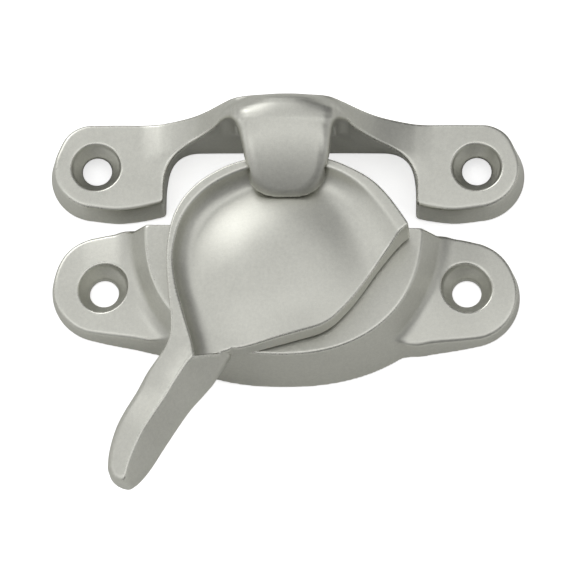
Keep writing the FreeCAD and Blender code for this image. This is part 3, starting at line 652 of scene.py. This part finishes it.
def metal(name, color, roughness, bump, edge=0.15, use_rounding=False, metallic=1.0):
    """Blasted surface; edge is how far a painted highlight brightens the convex edges, found from
    the mesh's edge attribute when one is asked for, else from pointiness.
    """
    material = bpy.data.materials.new(name)
    material.use_nodes = True
    tree = material.node_tree
    tree.nodes.clear()
    output = tree.nodes.new("ShaderNodeOutputMaterial")
    shader = add_node(tree, "ShaderNodeBsdfPrincipled", {"Metallic": metallic})
    tree.links.new(shader.outputs[0], output.inputs[0])
    place = tree.nodes.new("ShaderNodeTexCoord").outputs["Object"]

    def noise(scale, detail, rough):
        return add_node(tree, "ShaderNodeTexNoise", {
            "Scale": scale, "Detail": detail, "Roughness": rough, "Vector": place}).outputs["Fac"]

    def remap(value, *limits):
        """Map limits 1 and 2 to limits 3 and 4."""
        return add_node(tree, "ShaderNodeMapRange",
                        dict(enumerate((value, *limits)))).outputs[0]

    cloud = noise(scale=180, detail=4, rough=0.55)
    fine = noise(scale=9000, detail=2, rough=0.6)
    grain = noise(scale=2200, detail=3, rough=0.6)
    color = np.array(color)
    tinted = mix_color(tree, remap(cloud, 0.3, 0.7, 0, 1),
                       (*(color * 0.97), 1), (*(color * 1.03), 1))
    if use_rounding:
        edges = add_node(tree, "ShaderNodeAttribute", {}, attribute_name="edge_rounding").outputs["Fac"]
    else:
        geometry = tree.nodes.new("ShaderNodeNewGeometry")
        edges = remap(geometry.outputs["Pointiness"], 0.505, 0.56, 0.0, 1.0)
    # painted highlight: convex edges get a base colour up to a quarter brighter, standing in for
    # the light they catch
    edged = mix_color(tree, add_math(tree, "MULTIPLY", edges, edge),
                      tinted, (*(color * 1.25), 1))
    speckle = add_math(tree, "MULTIPLY", remap(fine, 0.3, 0.7, 0.93, 1.03),
                       remap(grain, 0.32, 0.68, 0.945, 1.035))
    shader_inputs = shader.inputs
    tree.links.new(mix_color(tree, 1.0, edged, speckle, blend_type="MULTIPLY"),
                   shader_inputs["Base Color"])
    # roughness: cloudy marks and grain, smoother on the edges
    uneven = add_math(tree, "ADD", remap(cloud, 0.3, 0.7, roughness - 0.03, roughness + 0.03),
                      remap(grain, 0.3, 0.7, -0.025, 0.025))
    edge_gain = -0.12 if use_rounding else -edge / 3
    tree.links.new(add_math(tree, "MULTIPLY_ADD", edges, edge_gain, uneven),
                   shader_inputs["Roughness"])
    bumps = add_node(tree, "ShaderNodeBump", {
        "Strength": bump, "Distance": 0.04 * MM, "Height": add_math(tree, "ADD", fine, grain)})
    tree.links.new(bumps.outputs[0], shader_inputs["Normal"])
    return material


def dress(thing, material):
    thing.data.materials.clear()
    thing.data.materials.append(material)


# edge sets how strongly the convex edges get a painted highlight
NICKEL = metal("satin_nickel", (0.60, 0.60, 0.55), roughness=0.38, bump=0.35, edge=0.45,
               use_rounding=True)
ZINC = metal("zinc_steel", (0.60, 0.61, 0.62), roughness=0.30, bump=0.12)
SPRING = metal("spring_steel", (0.34, 0.34, 0.36), roughness=0.33, bump=0.12)
BLACK = metal("dark_washer", (0.03, 0.03, 0.032), roughness=0.5, bump=0.2, edge=0.1,
              metallic=0.0)
for casting in castings:
    dress(casting, NICKEL)
meshes = {thing.name: thing for thing in bpy.data.objects if thing.type == "MESH"}
for name, material in {
        "pivot_stud": ZINC, "detent_collar": ZINC, "retaining_washer": ZINC,
        "spring_washer": SPRING, "detent_spring": SPRING, "thrust_washer": BLACK}.items():
    # the frame's own list covers a piece whose object has another name
    dress(meshes.get(name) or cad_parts[name], material)

# ------------------------------------------------ floor
FLOOR_IN_METAL = (0.74, 0.74, 0.72, 1)      # how the floor shows in reflections
FLOOR_SEEN = (0.96, 0.96, 0.96, 1)
FLOOR_GLOW = 0.62                           # emission, for the camera only

floor_material = bpy.data.materials.new("floor_white")
floor_material.use_nodes = True
tree = floor_material.node_tree
floor_inputs = tree.nodes["Principled BSDF"].inputs
floor_inputs["Roughness"].default_value = 0.8
floor_inputs["Specular IOR Level"].default_value = 0.1
floor_inputs["Emission Color"].default_value = (1, 1, 1, 1)
seen = tree.nodes.new("ShaderNodeLightPath").outputs["Is Camera Ray"]
tree.links.new(mix_color(tree, seen, FLOOR_IN_METAL, FLOOR_SEEN), floor_inputs["Base Color"])
tree.links.new(add_math(tree, "MULTIPLY", seen, FLOOR_GLOW), floor_inputs["Emission Strength"])
bpy.ops.mesh.primitive_plane_add(size=4, location=(0, 0, -0.0002))
floor = bpy.context.object
floor.name = "floor"
floor.data.materials.append(floor_material)

# ------------------------------------------------ sky of soft panels
# direction, tightness (higher is smaller), brightness at the middle
PANELS = [
    ((0.000, 0.000, 1.000), 14, 0.42), ((0.469, 0.000, 0.883), 14, 0.84),
    ((0.235, 0.407, 0.883), 14, 0.50), ((-0.469, 0.000, 0.883), 14, 0.32),
    ((-0.235, -0.407, 0.883), 14, 0.84), ((0.516, 0.637, 0.574), 12, 0.24),
    ((-0.446, 0.687, 0.574), 12, 1.60), ((-0.516, -0.637, 0.574), 12, 0.31),
    ((-0.043, -0.818, 0.574), 12, 0.35), ((0.990, 0.000, 0.139), 9, 0.75),
    ((0.000, 0.990, 0.139), 9, 0.18), ((-0.700, 0.700, 0.139), 9, 0.13),
    ((-0.990, 0.000, 0.139), 9, 1.35), ((-0.700, -0.700, 0.139), 9, 0.34),
    ((0.700, -0.700, 0.139), 9, 0.35), ((-0.42, 0.71, 0.565), 34, 2.10),
    ((0.58, -0.20, 0.76), 30, 0.80), ((-0.58, -0.20, 0.76), 30, 1.00),
    ((0.0, 0.04, 1.0), 50, 0.62)]

world = bpy.context.scene.world or bpy.data.worlds.new("world")
bpy.context.scene.world = world
world.use_nodes = True
tree = world.node_tree
tree.nodes.clear()
output = tree.nodes.new("ShaderNodeOutputWorld")
background = tree.nodes.new("ShaderNodeBackground")
tree.links.new(background.outputs[0], output.inputs[0])
view = tree.nodes.new("ShaderNodeTexCoord").outputs["Generated"]
sky = 0.0
for direction, tightness, gain in PANELS:
    # gain * exp(tightness * (cosine - 1))
    cosine = add_node(tree, "ShaderNodeVectorMath",
                      {0: view, 1: Vector(direction).normalized()}, operation="DOT_PRODUCT")
    power = add_math(tree, "MULTIPLY_ADD", cosine.outputs["Value"], tightness,
                     math.log(gain) - tightness)
    sky = add_math(tree, "ADD", sky, add_math(tree, "EXPONENT", power))
tree.links.new(sky, background.inputs[1])
background.inputs[0].default_value = (0.92, 0.92, 0.92, 1)

# ------------------------------------------------ camera
EYE_DISTANCE, EYE_ELEVATION = 0.570, math.radians(71.0)
VIEW_WIDTH = 0.081471004        # width in view at the origin
SENSOR_WIDTH = 36.0

camera_data = bpy.data.cameras.new("cam")
camera = bpy.data.objects.new("photo_camera", camera_data)
bpy.context.scene.collection.objects.link(camera)
eye = Vector((0.0277, -EYE_DISTANCE * math.cos(EYE_ELEVATION),
              EYE_DISTANCE * math.sin(EYE_ELEVATION)))
forward = (Vector((0.00034, 0.00112, 0.0)) - eye).normalized()
up = Vector((1, 0, 0)).cross(forward).normalized()      # keeps lines along X level
right = forward.cross(up)
pose = Matrix((right, up, -forward)).transposed().to_4x4()
pose.translation = eye
camera.matrix_world = pose
camera_data.sensor_width = SENSOR_WIDTH
camera_data.lens = -eye.dot(forward) * SENSOR_WIDTH / (VIEW_WIDTH * right.x)
camera_data.clip_start = 0.01
bpy.context.scene.camera = camera
bpy.context.scene.view_settings.view_transform = "Standard"
